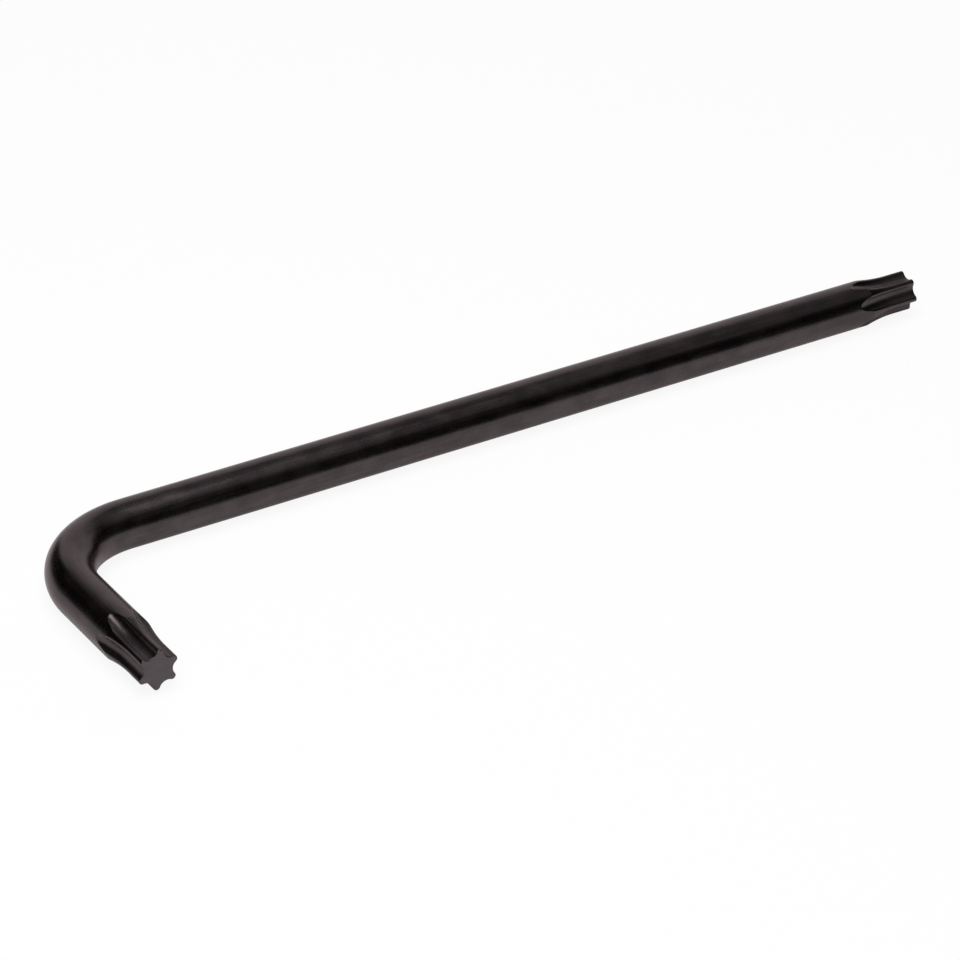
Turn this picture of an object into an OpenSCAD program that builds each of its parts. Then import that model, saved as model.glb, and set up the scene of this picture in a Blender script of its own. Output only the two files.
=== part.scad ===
// L-shaped star key: one length of round alloy-steel bar, bent once, with a six-lobe star cut on each end.
// The key lies flat: +Z is up, the long arm runs along +X and the short arm along -Y.
// The origin is the middle of its box, on the surface that it lies on. Sizes are in millimetres.

/* [Bar] */
// Diameter of the round bar
bar_d = 6.5; // [6.2:0.1:8]
// Long arm, from the short arm's outer side to its end face
long_arm = 139.5; // [80:0.5:220]
// Short arm, from the long arm's outer side to its end face
short_arm = 36; // [32:0.5:80]
// Radius of the bend, at the middle of the bar
bend_r = 12.5; // [8:0.5:16]

/* [Star tips] */
// Diameter over opposite lobes
star_od = 5.53; // [5.3:0.01:5.8]
// Diameter between opposite valleys
star_id = 3.95; // [3.8:0.01:4.1]
// Radius of a lobe's round nose
lobe_r = 0.46; // [0.45:0.01:0.55]
// Radius of a valley
valley_r = 1.2; // [1.16:0.01:1.3]
// How much of each lobe's nose is turned off, which leaves a narrow land
nose_trim = 0.02; // [0.02:0.01:0.06]
// Length of the full star behind the end face
star_len = 3; // [2:0.1:6]
// Radius of the neck, where the turned diameter swells into the round bar
neck_r = 22; // [20:0.5:30]
// Radius on which each flute runs out into the round bar
flute_r = 20; // [14:0.5:21]
// Chamfer on the lobes' edges at the end faces
end_chamfer = 0.15; // [0.05:0.05:0.4]

/* [Star directions] */
// Turn of the long arm's star, from a lobe straight up, in degrees
long_turn = -22; // [-30:1:30]
// Turn of the short arm's star, from a lobe straight up, in degrees
short_turn = -8; // [-30:1:30]

/* [Hidden] */
$fn = 96;

// How far a cutter runs past what it cuts, as a length and as an angle
past = 1;
past_angle = 4;

// Six lobes, each with half of a flute on either side
lobes = 6;
lobe_step = 360 / lobes;
half_step = lobe_step / 2;
// Half of a flute cutter's spread: it ends over the land, just short of the lobe's middle
flute_spread = half_step - 1;

// Where the two arms' axes cross, and the height at which they lie
corner = [bar_d / 2 - long_arm / 2, short_arm / 2 - bar_d / 2];
axis_z = bar_d / 2;
long_reach = long_arm - bar_d / 2;
short_reach = short_arm - bar_d / 2;

// Radius of the turned diameter
crest = star_od / 2;
// Distance of the noses' and valleys' centres from the axis
lobe_at = crest + nose_trim - lobe_r;
valley_floor = star_id / 2;
valley_at = valley_floor + valley_r;

// Each flute leaves the bar on an arc about an axis that lies across it, outside the bar
flute_axis = valley_floor + flute_r;
flute_angle = acos(1 - (bar_d / 2 - valley_floor) / flute_r) + past_angle;

function polar(r, a) = [r * cos(a), r * sin(a)];

// Six-lobe outline with round noses, its first lobe along +X
module star_outline() {
    difference() {
        polygon([for (i = [0 : 2 * lobes - 1]) polar(i % 2 == 0 ? lobe_at : valley_at, i * half_step)]);
        for (i = [0 : lobes - 1])
            rotate(half_step + i * lobe_step)
                translate([valley_at, 0])
                    circle(valley_r);
    }
    for (i = [0 : lobes - 1])
        rotate(i * lobe_step)
            translate([lobe_at, 0])
                circle(lobe_r);
}

// What a flute takes away beside the star, about the valley that lies along +X
module flute_outline() {
    difference() {
        polygon([[0, 0], polar(bar_d, -flute_spread), polar(bar_d, flute_spread)]);
        rotate(half_step)
            star_outline();
    }
}

// One flute: straight behind the end face at z = 0, then out of the bar on an arc
module flute() {
    translate([0, 0, -star_len])
        linear_extrude(star_len + past)
            flute_outline();
    translate([flute_axis, 0, -star_len])
        rotate([90, 180, 0])
            rotate_extrude(angle = flute_angle)
                translate([flute_axis, 0])
                    rotate(180)
                        flute_outline();
}

// What turning takes off the bar: down to the star's diameter, the hollow neck behind it and the end's chamfer
module turned_off() {
    rotate_extrude() {
        translate([crest, -star_len])
            square([bar_d, star_len + past]);
        intersection() {
            translate([crest + neck_r, -star_len])
                circle(neck_r);
            translate([0, -star_len - neck_r])
                square([bar_d, star_len + neck_r]);
        }
        polygon([
            [crest - end_chamfer - past, past],
            [crest + past, past],
            [crest + past, -end_chamfer - past]
        ]);
    }
}

// The six flutes of one end: the first lobe of the star points along +X
module flutes() {
    for (i = [0 : lobes - 1])
        rotate(half_step + i * lobe_step)
            flute();
}

// The plain round bar with its bend
module bent_bar() {
    translate([corner.x + bend_r, corner.y, axis_z])
        rotate([0, 90, 0])
            cylinder(d = bar_d, h = long_reach - bend_r);
    translate([corner.x, corner.y - bend_r, axis_z])
        rotate([90, 0, 0])
            cylinder(d = bar_d, h = short_reach - bend_r);
    translate([corner.x + bend_r, corner.y - bend_r, axis_z])
        rotate_extrude(angle = 90, start = 90)
            translate([bend_r, 0])
                circle(d = bar_d);
}

// Places with +Z out of the arm's end face and +X straight up
module at_long_end() {
    translate([corner.x + long_reach, corner.y, axis_z])
        rotate([0, 90, 0])
            rotate(180)
                children();
}

module at_short_end() {
    translate([corner.x, corner.y - short_reach, axis_z])
        rotate([90, 0, 0])
            rotate(90)
                children();
}

// The bent bar with both ends turned down to the star's diameter
module turned_bar() {
    difference() {
        bent_bar();
        at_long_end()
            turned_off();
        at_short_end()
            turned_off();
    }
}

// The whole key is one piece of steel
module key_bar() {
    color([0.16, 0.155, 0.16])
        difference() {
            turned_bar();
            at_long_end()
                rotate(long_turn)
                    flutes();
            at_short_end()
                rotate(short_turn)
                    flutes();
        }
}

key_bar();
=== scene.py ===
"""Dressed model of an L-shaped star key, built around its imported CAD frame.

The key is one bent steel bar with a six-lobe star formed on each end. The skin made here follows the CAD
solid and adds what the solid leaves out: broken edges, blended flutes and a satin black-oxide finish.
All lengths are in metres, in the CAD frame.
"""

import logging
import math
from dataclasses import dataclass, field
from enum import Enum

import bmesh
import bpy
from mathutils import Matrix, Vector

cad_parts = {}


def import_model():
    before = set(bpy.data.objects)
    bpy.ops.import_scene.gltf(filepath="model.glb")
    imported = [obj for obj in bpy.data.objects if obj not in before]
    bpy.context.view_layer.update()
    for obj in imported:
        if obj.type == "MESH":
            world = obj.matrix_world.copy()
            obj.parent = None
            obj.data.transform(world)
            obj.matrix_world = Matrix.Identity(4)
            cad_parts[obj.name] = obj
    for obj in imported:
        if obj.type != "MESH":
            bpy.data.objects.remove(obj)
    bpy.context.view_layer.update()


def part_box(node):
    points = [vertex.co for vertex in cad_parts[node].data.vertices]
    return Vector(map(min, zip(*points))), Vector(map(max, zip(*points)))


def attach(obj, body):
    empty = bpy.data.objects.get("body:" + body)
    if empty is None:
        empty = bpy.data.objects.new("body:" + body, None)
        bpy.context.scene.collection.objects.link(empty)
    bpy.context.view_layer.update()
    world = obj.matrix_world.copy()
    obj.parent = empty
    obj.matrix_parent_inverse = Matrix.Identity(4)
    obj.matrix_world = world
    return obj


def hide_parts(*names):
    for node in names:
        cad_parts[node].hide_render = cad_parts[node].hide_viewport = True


MM = 0.001
LOBES = 6
LOBE_STEP = 2 * math.pi / LOBES
HALF_STEP = LOBE_STEP / 2
QUARTER_TURN = math.pi / 2
WHITE = (1.0, 1.0, 1.0, 1.0)
NOISE_MEAN = 0.5
LOG = logging.getLogger("star_key")


def smooth_min(a: float, b: float, width: float) -> float:
    """Lesser of two lengths, with the corner between them rounded.

    Args:
        a: First length.
        b: Second length.
        width: How far apart the two are when the rounding ends.

    Returns:
        The rounded minimum.
    """
    share = min(max(0.5 + 0.5 * (b - a) / width, 0.0), 1.0)
    return b + (a - b) * share - width * share * (1.0 - share)


class Arm(Enum):
    """The two arms of the key, in the order in which the bar's centre line runs."""

    SHORT = "short"
    LONG = "long"


class Step(Enum):
    """Sums that a Signal can do, under the names of the Math node."""

    ADD = "ADD"
    SUBTRACT = "SUBTRACT"
    MULTIPLY = "MULTIPLY"


class Signal:
    """A number that varies over a surface. Arithmetic on it adds Math nodes to its tree."""

    def __init__(self, bench: "NodeBench", socket: bpy.types.NodeSocket) -> None:
        """Wraps a socket of the bench's tree."""
        self.bench = bench
        self.socket = socket

    def _sum(self, step: Step, left: "Signal | float", right: "Signal | float") -> "Signal":
        """Adds one Math node.

        Args:
            step: The operation.
            left: First value.
            right: Second value.

        Returns:
            The node's result.
        """
        node = self.bench.node("ShaderNodeMath", {"operation": step.value}, {0: left, 1: right})
        return Signal(self.bench, node.outputs[0])

    def __add__(self, other: "Signal | float") -> "Signal":
        """This value plus another."""
        return self._sum(Step.ADD, self, other)

    def __radd__(self, other: float) -> "Signal":
        """A number plus this value."""
        return self._sum(Step.ADD, other, self)

    def __sub__(self, other: "Signal | float") -> "Signal":
        """This value less another."""
        return self._sum(Step.SUBTRACT, self, other)

    def __rsub__(self, other: float) -> "Signal":
        """A number less this value."""
        return self._sum(Step.SUBTRACT, other, self)

    def __mul__(self, other: "Signal | float") -> "Signal":
        """This value times another."""
        return self._sum(Step.MULTIPLY, self, other)

    def __rmul__(self, other: float) -> "Signal":
        """A number times this value."""
        return self._sum(Step.MULTIPLY, other, self)

    def between(self, low: float, high: float) -> "Signal":
        """How far this value has come from low to high, eased at both ends.

        Args:
            low: Value that gives 0.
            high: Value that gives 1.

        Returns:
            A value from 0 to 1.
        """
        node = self.bench.node(
            "ShaderNodeMapRange",
            {"interpolation_type": "SMOOTHSTEP", "clamp": True},
            {"Value": self, "From Min": low, "From Max": high},
        )
        return Signal(self.bench, node.outputs["Result"])


@dataclass(frozen=True)
class Grain:
    """How fine a noise is: grains to the metre along each axis, octaves of finer noise and their weight."""

    per_metre: tuple[float, float, float]
    detail: float
    finer_weight: float = 0.55


class NodeBench:
    """A node tree, emptied, in which shaders are put together."""

    def __init__(self, tree: bpy.types.NodeTree) -> None:
        """Clears the tree."""
        self.tree = tree
        tree.nodes.clear()

    def node(self, kind: str, settings: dict | None = None, inputs: dict | None = None) -> bpy.types.Node:
        """Adds a node.

        Args:
            kind: The node's type.
            settings: Properties, set before the sockets.
            inputs: Values, signals or sockets, by the input's name or number.

        Returns:
            The new node.
        """
        node = self.tree.nodes.new(kind)
        for name, value in (settings or {}).items():
            setattr(node, name, value)
        for key, value in (inputs or {}).items():
            if isinstance(value, Signal):
                self.tree.links.new(value.socket, node.inputs[key])
            elif isinstance(value, bpy.types.NodeSocket):
                self.tree.links.new(value, node.inputs[key])
            else:
                node.inputs[key].default_value = value
        return node

    def attribute(self, name: str) -> bpy.types.Node:
        """A node that reads one of the mesh's own attributes."""
        return self.node("ShaderNodeAttribute", {"attribute_name": name})

    def light_rays(self) -> tuple[Signal, Signal]:
        """Which rays meet a surface.

        Returns:
            A value that is 1 for the camera's own rays, and one that is 1 for rays sent on by metal or glass.
        """
        rays = self.node("ShaderNodeLightPath")
        looked_at = Signal(self, rays.outputs["Is Camera Ray"])
        glossy = Signal(self, rays.outputs["Is Glossy Ray"])
        passed_on = Signal(self, rays.outputs["Is Transmission Ray"])
        return looked_at, glossy + passed_on

    def noise(self, place: bpy.types.NodeSocket, grain: Grain) -> Signal:
        """Noise with its own grain along each axis.

        Args:
            place: Where the surface is.
            grain: How fine the noise is.

        Returns:
            The noise, from 0 to 1 and mostly near its mean.
        """
        scaled = self.node("ShaderNodeMapping", {}, {"Vector": place, "Scale": grain.per_metre})
        node = self.node(
            "ShaderNodeTexNoise",
            {"noise_dimensions": "3D"},
            {
                "Vector": scaled.outputs["Vector"],
                "Scale": 1.0,
                "Detail": grain.detail,
                "Roughness": grain.finer_weight,
            },
        )
        return Signal(self, node.outputs[0])

    def mix(self, share: "Signal | float", first: object, second: object) -> bpy.types.NodeSocket:
        """Mixes two colours.

        Args:
            share: How much of the second there is.
            first: Colour or socket where the share is 0.
            second: Colour or socket where the share is 1.

        Returns:
            The mixed colour's socket.
        """
        node = self.node("ShaderNodeMix", {"data_type": "RGBA"}, {"Factor": share})
        for name, value in (("A", first), ("B", second)):
            socket = next(s for s in node.inputs if s.name == name and s.type == "RGBA")
            if isinstance(value, bpy.types.NodeSocket):
                self.tree.links.new(value, socket)
            else:
                socket.default_value = (*value, 1.0)
        return next(s for s in node.outputs if s.type == "RGBA")


@dataclass(frozen=True)
class BlackOxide:
    """Satin black oxide on drawn steel, oiled: brown-black, rubbed thin along the edges."""

    film: tuple[float, float, float] = (0.0575, 0.049, 0.0515)
    brown_film: tuple[float, float, float] = (0.086, 0.0715, 0.071)
    rubbed: tuple[float, float, float] = (0.1235, 0.108, 0.106)
    cut_face: tuple[float, float, float] = (0.101, 0.088, 0.094)
    glancing: tuple[float, float, float] = (0.86, 0.79, 0.8)
    roughness: float = 0.27
    flute_roughness: float = 0.4
    drawn_lines: Grain = Grain((55.0, 2400.0, 2400.0), 3.0)
    clouds: Grain = Grain((260.0, 420.0, 420.0), 4.0)
    grain: Grain = Grain((3600.0, 3600.0, 3600.0), 2.0)
    brown_from_clouds: float = 0.7
    brown_from_lines: float = 0.3
    brown_range: tuple[float, float] = (0.36, 0.66)
    rub_from_clouds: float = 0.9
    rub_from_grain: float = 0.5
    rub_range: tuple[float, float] = (0.55, 1.15)
    rub_share: float = 0.3
    rough_from_lines: float = 0.12
    rough_from_clouds: float = 0.15
    rough_on_face: float = 0.06
    smooth_where_rubbed: float = 0.05
    height_of_lines: float = 0.45
    height_of_grain: float = 0.55
    bump_strength: float = 0.35
    bump_depth: float = 0.012 * MM

    def make(self, name: str) -> bpy.types.Material:
        """Puts the material together.

        Args:
            name: The material's name.

        Returns:
            The material.
        """
        material = bpy.data.materials.new(name)
        material.use_nodes = True
        bench = NodeBench(material.node_tree)
        place = bench.attribute("unbent").outputs["Vector"]
        edge = Signal(bench, bench.attribute("edge").outputs["Fac"])
        face = Signal(bench, bench.attribute("end_face").outputs["Fac"])
        flute = Signal(bench, bench.attribute("flute").outputs["Fac"])
        lines = bench.noise(place, self.drawn_lines)
        clouds = bench.noise(place, self.clouds)
        grain = bench.noise(place, self.grain)
        uneven = (clouds - NOISE_MEAN) * self.rub_from_clouds + (grain - NOISE_MEAN) * self.rub_from_grain
        rub = (edge + uneven).between(*self.rub_range)
        brown = (clouds * self.brown_from_clouds + lines * self.brown_from_lines).between(*self.brown_range)
        colour = bench.mix(brown, self.film, self.brown_film)
        colour = bench.mix(face, colour, self.cut_face)
        colour = bench.mix(rub * self.rub_share, colour, self.rubbed)
        rough = self.roughness + flute * (self.flute_roughness - self.roughness)
        rough = rough + (lines - NOISE_MEAN) * self.rough_from_lines
        rough = rough + (clouds - NOISE_MEAN) * self.rough_from_clouds
        rough = rough + face * self.rough_on_face - rub * self.smooth_where_rubbed
        bump = bench.node(
            "ShaderNodeBump",
            {},
            {
                "Strength": self.bump_strength,
                "Distance": self.bump_depth,
                "Height": lines * self.height_of_lines + grain * self.height_of_grain,
            },
        )
        shader = bench.node(
            "ShaderNodeBsdfPrincipled",
            {},
            {
                "Base Color": colour,
                "Metallic": 1.0,
                "Roughness": rough,
                "Specular Tint": (*self.glancing, 1.0),
                "Normal": bump.outputs["Normal"],
            },
        )
        bench.node("ShaderNodeOutputMaterial", {}, {"Surface": shader.outputs["BSDF"]})
        return material


@dataclass(frozen=True)
class WhiteSweep:
    """White studio floor. What looks at it sees it white, with a trace of the key's shadow."""

    paper: tuple[float, float, float] = (0.9, 0.9, 0.9)
    glow_share: float = 0.9
    glow_in_metal: float = 0.3

    def make(self, name: str) -> bpy.types.Material:
        """Puts the material together.

        Args:
            name: The material's name.

        Returns:
            The material.
        """
        material = bpy.data.materials.new(name)
        material.use_nodes = True
        bench = NodeBench(material.node_tree)
        looked_at, mirrored = bench.light_rays()
        matt = bench.node("ShaderNodeBsdfDiffuse", {}, {"Color": (*self.paper, 1.0)})
        glow = bench.node("ShaderNodeEmission", {}, {"Color": WHITE, "Strength": 1.0})
        mixed = bench.node(
            "ShaderNodeMixShader",
            {},
            {
                "Fac": looked_at * self.glow_share + mirrored * self.glow_in_metal,
                1: matt.outputs["BSDF"],
                2: glow.outputs["Emission"],
            },
        )
        bench.node("ShaderNodeOutputMaterial", {}, {"Surface": mixed.outputs["Shader"]})
        return material


@dataclass(frozen=True)
class StarTip:
    """Six-lobe star on one end of the bar, and the stretch in which its flutes run out."""

    turn: float
    bar_r: float
    crest: float = 2.765 * MM
    nose_r: float = 0.45 * MM
    valley_r: float = 1.186 * MM
    valley_floor: float = 1.975 * MM
    length: float = 3.0 * MM
    neck_r: float = 22.0 * MM
    neck_proud: float = 0.03 * MM
    flute_r: float = 20.0 * MM
    rim: float = 0.12 * MM
    flute_edge: float = 0.07 * MM
    neck_edge: float = 0.12 * MM
    rub_width: float = 0.12 * MM
    rim_rub: float = 0.24 * MM
    flute_skin: float = 0.15 * MM
    reach: float = 10.5 * MM
    search_from: float = 0.3
    search_to: float = 2.0
    halvings: int = 36
    fine_steps: int = 400
    rim_rings: int = 6
    star_step: float = 0.32 * MM
    neck_step: float = 0.15 * MM
    run_out_step: float = 0.07 * MM
    neck_end_in_lengths: float = 2.2

    def outline(self, across: float) -> float:
        """Height of the star's outline over the bar's axis, beside a valley's middle.

        Args:
            across: Distance from the valley's middle, square to it.

        Returns:
            The height, measured along the valley's middle.
        """
        valley_at = self.valley_floor + self.valley_r
        nose_at = self.crest - self.nose_r
        nose_off = across - nose_at * math.sin(HALF_STEP)
        root = nose_at * math.sin(HALF_STEP) * self.valley_r / (self.valley_r + self.nose_r)
        if across < root:
            return valley_at - math.sqrt(self.valley_r**2 - across**2)
        nose_top = self.nose_r * math.sin(HALF_STEP)
        if nose_off < nose_top:
            return nose_at * math.cos(HALF_STEP) + math.sqrt(self.nose_r**2 - nose_off**2)
        return self.crest * math.cos(HALF_STEP) - (nose_off - nose_top) * math.tan(HALF_STEP)

    def flute_radius(self, from_valley: float, behind: float) -> float:
        """Radius to which a flute cuts.

        Args:
            from_valley: Angle from the valley's middle.
            behind: Distance behind the full star, along the arc's run.

        Returns:
            The radius of the cut, from the bar's axis.
        """
        axis = self.valley_floor + self.flute_r
        behind = max(behind, 0.0)
        low, high = self.search_from * self.bar_r, self.search_to * self.bar_r
        for _ in range(self.halvings):
            middle = 0.5 * (low + high)
            swing = (axis - self.outline(middle * math.sin(from_valley))) ** 2 - behind**2
            lift = axis - math.sqrt(swing) if swing > 0.0 else axis
            if middle * math.cos(from_valley) < lift:
                low = middle
            else:
                high = middle
        return low

    def turned_radius(self, back: float) -> float:
        """Radius of the turned end, without its flutes, at a distance back from the end face."""
        behind = max(back - self.length, 0.0)
        if behind >= self.neck_r:
            return self.bar_r
        neck = self.crest + self.neck_proud + self.neck_r - math.sqrt(self.neck_r**2 - behind**2)
        return smooth_min(neck, self.bar_r, self.neck_edge)

    def section(self, from_lobe: float, back: float) -> tuple[float, float, float]:
        """Radius of the finished tip, how near the place is to an edge, and whether it is cut.

        Args:
            from_lobe: Angle from a lobe's middle, up to half a step.
            back: Distance back from the end face.

        Returns:
            The radius, a value that is 1 on an edge and 0 away from it, and one that is 1 in a full flute.
        """
        land = self.turned_radius(back)
        flute = self.flute_radius(HALF_STEP - from_lobe, back - self.length)
        radius = smooth_min(land, flute, self.flute_edge)
        edge = max(0.0, 1.0 - abs(land - flute) / self.rub_width)
        if back < self.rim:
            radius -= self.rim - math.sqrt(self.rim**2 - (self.rim - back) ** 2)
        edge = max(edge, 1.0 - back / self.rim_rub)
        run_out = min(max((back - self.length) / (self.reach - self.length), 0.0), 1.0)
        cut = min(max((land - flute) / self.flute_skin, 0.0), 1.0) * (1.0 - run_out)
        return radius, edge, cut

    def columns(self, count: int) -> list[float]:
        """Angles from a lobe's middle to a valley's, spaced evenly along the outline.

        Args:
            count: How many steps.

        Returns:
            count + 1 angles.
        """
        angles = [HALF_STEP * i / self.fine_steps for i in range(self.fine_steps + 1)]
        radii = [self.section(a, self.length * 0.5)[0] for a in angles]
        points = [Vector((r * math.cos(a), r * math.sin(a))) for r, a in zip(radii, angles)]
        runs = [0.0]
        for first, second in zip(points, points[1:]):
            runs.append(runs[-1] + (second - first).length)
        found, at = [], 0
        for i in range(count + 1):
            goal = runs[-1] * i / count
            while at < self.fine_steps and runs[at] < goal:
                at += 1
            found.append(angles[at])
        return found

    def rings(self) -> list[float]:
        """Distances back from the end face at which the skin gets a ring."""
        rings = [
            self.rim * (1.0 - math.cos(QUARTER_TURN * i / self.rim_rings)) for i in range(self.rim_rings + 1)
        ]
        stretches = (
            (self.length, self.star_step),
            (self.neck_end_in_lengths * self.length, self.neck_step),
            (self.reach, self.run_out_step),
        )
        for end, step in stretches:
            count = math.ceil((end - rings[-1]) / step)
            start = rings[-1]
            rings += [start + (end - start) * (i + 1) / count for i in range(count)]
        return rings


@dataclass
class BentBar:
    """The whole key: a round bar, bent once, with a star on each end."""

    low: Vector
    high: Vector
    bend_r: float = 12.5 * MM
    short_turn: float = math.radians(-8.0)
    long_turn: float = math.radians(22.0)
    columns_per_half_lobe: int = 26
    bend_rings: int = 48
    straight_step: float = 3.0 * MM
    cap_inset: float = 0.05 * MM
    finish: BlackOxide = field(default_factory=BlackOxide)

    def __post_init__(self) -> None:
        """Works out the centre line and the two tips from the CAD node's box."""
        self.bar_r = (self.high.z - self.low.z) / 2
        self.corner = Vector((self.low.x + self.bar_r, self.high.y - self.bar_r, self.low.z + self.bar_r))
        self.short_straight = self.corner.y - self.bend_r - self.low.y
        self.long_straight = self.high.x - self.corner.x - self.bend_r
        self.bend_run = self.bend_r * QUARTER_TURN
        self.run = self.short_straight + self.bend_run + self.long_straight
        self.tips = {
            Arm.SHORT: StarTip(self.short_turn, self.bar_r),
            Arm.LONG: StarTip(self.long_turn, self.bar_r),
        }

    def place(self, run: float) -> Matrix:
        """Where the bar is, and which way it runs.

        Args:
            run: Distance along the centre line from the short arm's end face.

        Returns:
            A matrix whose X points to the outside of the L, Y up and Z along the bar to the long arm's end.
        """
        bent = min(max((run - self.short_straight) / self.bend_r, 0.0), QUARTER_TURN)
        out = Vector((-math.cos(bent), math.sin(bent), 0.0))
        along = Vector((math.sin(bent), math.cos(bent), 0.0))
        centre = self.corner + Vector((self.bend_r, -self.bend_r, 0.0))
        past = run - self.short_straight - bent * self.bend_r
        origin = centre + self.bend_r * out + past * along
        matrix = Matrix.Identity(4)
        for column, axis in enumerate((out, Vector((0.0, 0.0, 1.0)), along, origin)):
            matrix.col[column][:3] = axis
        return matrix

    def stations(self) -> list[float]:
        """Distances along the centre line at which the skin gets a ring."""
        short_tip, long_tip = self.tips[Arm.SHORT], self.tips[Arm.LONG]
        rings = short_tip.rings()
        turns = [i / self.bend_rings for i in range(self.bend_rings + 1)]
        bend = [self.short_straight + self.bend_run * turn for turn in turns]
        long_rings = [self.run - back for back in reversed(long_tip.rings())]
        for goal in [*bend, long_rings[0]]:
            steps = max(1, math.ceil((goal - rings[-1]) / self.straight_step))
            start = rings[-1]
            rings += [start + (goal - start) * (i + 1) / steps for i in range(steps)]
        return rings + long_rings[1:]

    def ring(self, run: float, angles: list[float]) -> list[tuple[Vector, Vector, float, float]]:
        """The points of one ring.

        Args:
            run: Distance along the centre line.
            angles: Angles from a lobe's middle to a valley's.

        Returns:
            For each point its place, its place on the bar if that were straight, its nearness to an edge, and
            whether it lies in a flute.
        """
        short_tip, long_tip = self.tips[Arm.SHORT], self.tips[Arm.LONG]
        tip, back = (short_tip, run) if run < self.run / 2 else (long_tip, self.run - run)
        half = [tip.section(a, back) if back <= tip.reach else (self.bar_r, 0.0, 0.0) for a in angles]
        share = (run - short_tip.reach) / (self.run - short_tip.reach - long_tip.reach)
        share = min(max(share, 0.0), 1.0)
        turn = short_tip.turn + (long_tip.turn - short_tip.turn) * share
        right = list(zip(angles, half))
        sector = [(-angle, found) for angle, found in reversed(right[1:])] + right[:-1]
        matrix = self.place(run)
        points = []
        for lobe in range(LOBES):
            for angle, (radius, edge, cut) in sector:
                phi = turn + lobe * LOBE_STEP + angle
                flat = Vector((radius * math.sin(phi), radius * math.cos(phi), 0.0))
                points.append((matrix @ flat, Vector((run, flat.x, flat.y)), edge, cut))
        return points

    def build(self) -> bpy.types.Object:
        """Makes the key's skin.

        Returns:
            The key as one closed mesh.
        """
        shape = bmesh.new()
        unbent = shape.verts.layers.float_vector.new("unbent")
        edge_layer = shape.verts.layers.float.new("edge")
        flute_layer = shape.verts.layers.float.new("flute")
        face_layer = shape.verts.layers.float.new("end_face")
        angles = self.tips[Arm.SHORT].columns(self.columns_per_half_lobe)
        count = LOBES * 2 * self.columns_per_half_lobe
        loop = bmesh.ops.create_circle(shape, segments=count, radius=self.bar_r)["verts"]
        first_rim = list(loop)
        for index, run in enumerate(self.stations()):
            if index:
                loop = self._extrude(shape, loop)
            for vert, (spot, straight, edge, cut) in zip(loop, self.ring(run, angles)):
                vert.co = spot
                vert[unbent] = straight
                vert[edge_layer] = edge
                vert[flute_layer] = cut
        for rim, run in ((first_rim, 0.0), (loop, self.run)):
            self._cap(shape, rim, run, unbent, edge_layer, face_layer)
        bmesh.ops.recalc_face_normals(shape, faces=shape.faces[:])
        for polygon in shape.faces:
            polygon.smooth = True
        mesh = bpy.data.meshes.new("star_key_skin")
        shape.to_mesh(mesh)
        shape.free()
        piece = bpy.data.objects.new("star_key_skin", mesh)
        bpy.context.scene.collection.objects.link(piece)
        return piece

    def _extrude(
        self, shape: bmesh.types.BMesh, loop: list[bmesh.types.BMVert]
    ) -> list[bmesh.types.BMVert]:
        """Draws a ring on by one step.

        Args:
            shape: The mesh in work.
            loop: The ring's vertices, in order.

        Returns:
            The new ring's vertices, in the same order.
        """
        edges = [shape.edges.get((a, b)) for a, b in zip(loop, loop[1:] + loop[:1])]
        made = bmesh.ops.extrude_edge_only(shape, edges=edges)["geom"]
        fresh = {item for item in made if isinstance(item, bmesh.types.BMVert)}
        return [next(e.other_vert(v) for e in v.link_edges if e.other_vert(v) in fresh) for v in loop]

    def _cap(
        self,
        shape: bmesh.types.BMesh,
        rim: list[bmesh.types.BMVert],
        run: float,
        unbent: bmesh.types.BMLayerItem,
        edge_layer: bmesh.types.BMLayerItem,
        face_layer: bmesh.types.BMLayerItem,
    ) -> None:
        """Closes one end with its flat face.

        Args:
            shape: The mesh in work.
            rim: The end ring's vertices.
            run: Distance of the end along the centre line.
            unbent: Layer of the places on the straight bar.
            edge_layer: Layer of the nearness to an edge.
            face_layer: Layer that marks the end faces.
        """
        edges = [shape.edges.get((a, b)) for a, b in zip(rim, rim[1:] + rim[:1])]
        cap = bmesh.ops.edgeloop_fill(shape, edges=edges)["faces"]
        bmesh.ops.inset_region(shape, faces=cap, thickness=self.cap_inset, use_even_offset=True)
        turned_back = self.place(run).inverted()
        for vert in {v for polygon in cap for v in polygon.verts}:
            flat = turned_back @ vert.co
            vert[unbent] = Vector((run, flat.x, flat.y))
            vert[edge_layer] = 0.0
            vert[face_layer] = 1.0

    def dress(self, piece: bpy.types.Object) -> None:
        """Gives the skin its finish and puts it in the CAD node's place."""
        piece.data.materials.append(self.finish.make("black_oxide"))
        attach(piece, "root")
        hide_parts("key_bar")


@dataclass(frozen=True)
class Softbox:
    """A flat white lamp, given by how bright its face is."""

    name: str
    centre: tuple[float, float, float]
    aim: tuple[float, float, float]
    width: float
    height: float
    brightness: float
    round_face: bool = False

    def build(self) -> bpy.types.Object:
        """Makes the lamp, which the camera doesn't see.

        Returns:
            The lamp's object.
        """
        lamp = bpy.data.lights.new(self.name, "AREA")
        lamp.shape = "ELLIPSE" if self.round_face else "RECTANGLE"
        lamp.size = self.width
        lamp.size_y = self.height
        area = self.width * self.height * (math.pi / 4 if self.round_face else 1.0)
        lamp.energy = self.brightness * math.pi * area
        holder = bpy.data.objects.new(self.name, lamp)
        holder.location = self.centre
        holder.rotation_mode = "QUATERNION"
        holder.rotation_quaternion = (Vector(self.aim) - Vector(self.centre)).to_track_quat("-Z", "Y")
        holder.visible_camera = False
        bpy.context.scene.collection.objects.link(holder)
        return holder


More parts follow.
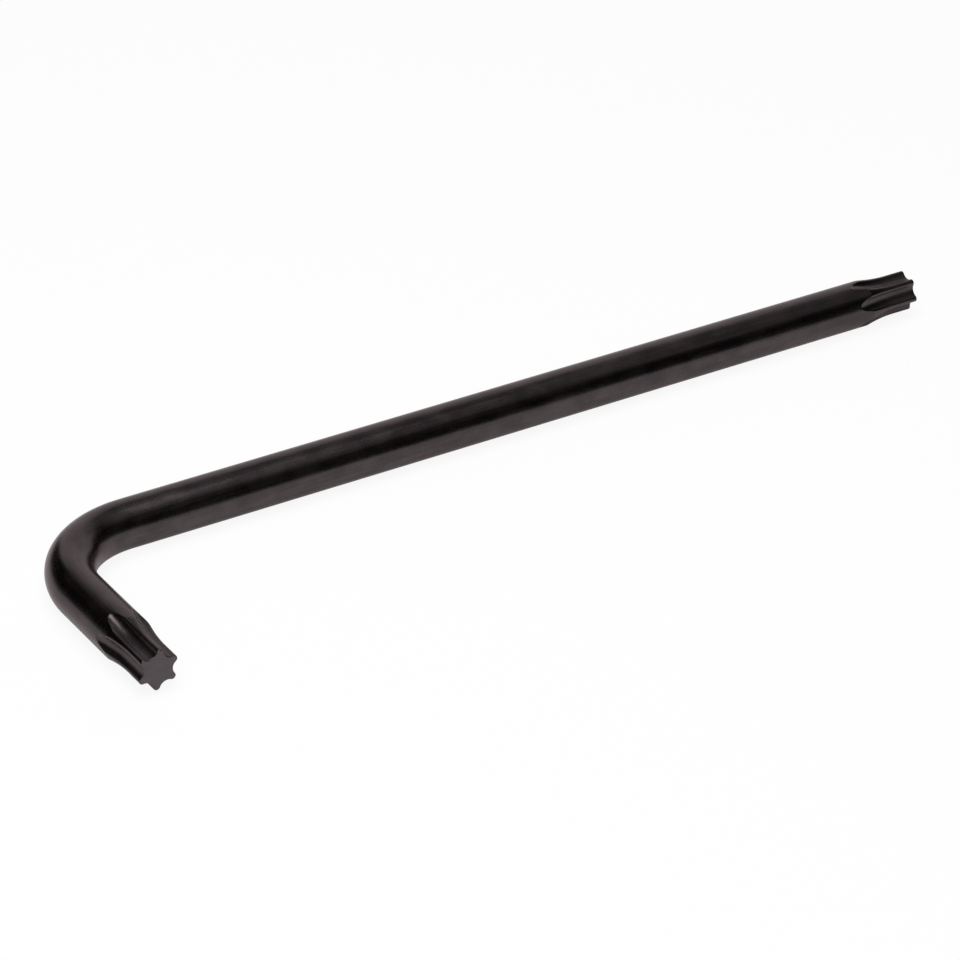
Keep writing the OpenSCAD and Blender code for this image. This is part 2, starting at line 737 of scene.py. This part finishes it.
@dataclass
class Studio:
    """White floor, lamps overhead and in front, a dim ceiling, a white card behind the key, a dark room."""

    floor_z: float = -0.02 * MM
    floor_size: float = 6.0
    room: tuple[float, float, float] = (0.009, 0.004, 0.004)
    white_in_metal: float = 0.008
    sweep: WhiteSweep = field(default_factory=WhiteSweep)
    lamps: tuple[Softbox, ...] = (
        Softbox(
            name="overhead_softbox",
            centre=(-0.1, -0.03, 0.5),
            aim=(-0.1, -0.03, 0.0),
            width=0.4,
            height=0.4,
            brightness=4.6,
            round_face=True,
        ),
        Softbox(
            name="front_softbox",
            centre=(-0.47, -0.64, 0.62),
            aim=(0.0, 0.0, 0.0),
            width=0.7,
            height=0.7,
            brightness=3.4,
        ),
        Softbox(
            name="ceiling",
            centre=(0.45, 0.05, 1.2),
            aim=(0.45, 0.05, 0.0),
            width=1.5,
            height=1.8,
            brightness=0.22,
        ),
        Softbox(
            name="back_card",
            centre=(0.36, 0.48, 0.24),
            aim=(0.0, 0.0, 0.05),
            width=0.92,
            height=0.48,
            brightness=0.82,
        ),
    )

    def build(self) -> None:
        """Makes the floor, the lamps and the room's light."""
        shape = bmesh.new()
        bmesh.ops.create_grid(shape, x_segments=1, y_segments=1, size=self.floor_size / 2)
        bmesh.ops.translate(shape, vec=(0.0, 0.0, self.floor_z), verts=shape.verts[:])
        mesh = bpy.data.meshes.new("studio_floor")
        shape.to_mesh(mesh)
        shape.free()
        floor = bpy.data.objects.new("studio_floor", mesh)
        floor.data.materials.append(self.sweep.make("white_sweep"))
        bpy.context.scene.collection.objects.link(floor)
        for lamp in self.lamps:
            lamp.build()
        self._room_light()

    def _room_light(self) -> None:
        """Sets the world: a dark room, white where the camera looks past the floor, with a trace in metal."""
        world = bpy.data.worlds.new("studio_room")
        world.use_nodes = True
        bench = NodeBench(world.node_tree)
        looked_at, mirrored = bench.light_rays()
        dim = bench.node("ShaderNodeBackground", {}, {"Color": (*self.room, 1.0), "Strength": 1.0})
        white = bench.node("ShaderNodeBackground", {}, {"Color": WHITE, "Strength": 1.0})
        mixed = bench.node(
            "ShaderNodeMixShader",
            {},
            {
                "Fac": looked_at + mirrored * self.white_in_metal,
                1: dim.outputs["Background"],
                2: white.outputs["Background"],
            },
        )
        bench.node("ShaderNodeOutputWorld", {}, {"Surface": mixed.outputs["Shader"]})
        bpy.context.scene.world = world


@dataclass(frozen=True)
class PhotoCamera:
    """Camera at the photograph's viewing angle, fitted to the key's outline."""

    azimuth: float = math.radians(-31.953)
    elevation: float = math.radians(29.685)
    target: tuple[float, float, float] = (-10.0 * MM, 0.504 * MM, 3.25 * MM)
    distance: float = 493.65 * MM
    focal_px: float = 3825.1
    frame_px: float = 960.0
    sensor_mm: float = 36.0
    nearest: float = 0.01
    farthest: float = 50.0

    def build(self) -> bpy.types.Object:
        """Makes the camera and gives it to the scene.

        Returns:
            The camera's object.
        """
        back = Vector(
            (
                math.sin(self.azimuth) * math.cos(self.elevation),
                -math.cos(self.azimuth) * math.cos(self.elevation),
                math.sin(self.elevation),
            )
        )
        data = bpy.data.cameras.new("photo_camera")
        data.sensor_fit = "HORIZONTAL"
        data.sensor_width = self.sensor_mm
        data.lens = self.focal_px / self.frame_px * self.sensor_mm
        data.clip_start = self.nearest
        data.clip_end = self.farthest
        camera = bpy.data.objects.new("photo_camera", data)
        camera.location = Vector(self.target) + back * self.distance
        camera.rotation_mode = "QUATERNION"
        camera.rotation_quaternion = (-back).to_track_quat("-Z", "Y")
        bpy.context.scene.collection.objects.link(camera)
        bpy.context.scene.camera = camera
        return camera


def main() -> None:
    """Builds the key around its CAD frame, then the studio and the camera."""
    logging.basicConfig(level=logging.INFO, format="%(name)s: %(message)s")
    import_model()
    bpy.context.scene.view_settings.view_transform = "Standard"
    key = BentBar(*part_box("key_bar"))
    skin = key.build()
    key.dress(skin)
    LOG.info("%s: %d faces on a bar run of %.2f mm", skin.name, len(skin.data.polygons), key.run / MM)
    Studio().build()
    PhotoCamera().build()


if __name__ == "__main__":
    main()
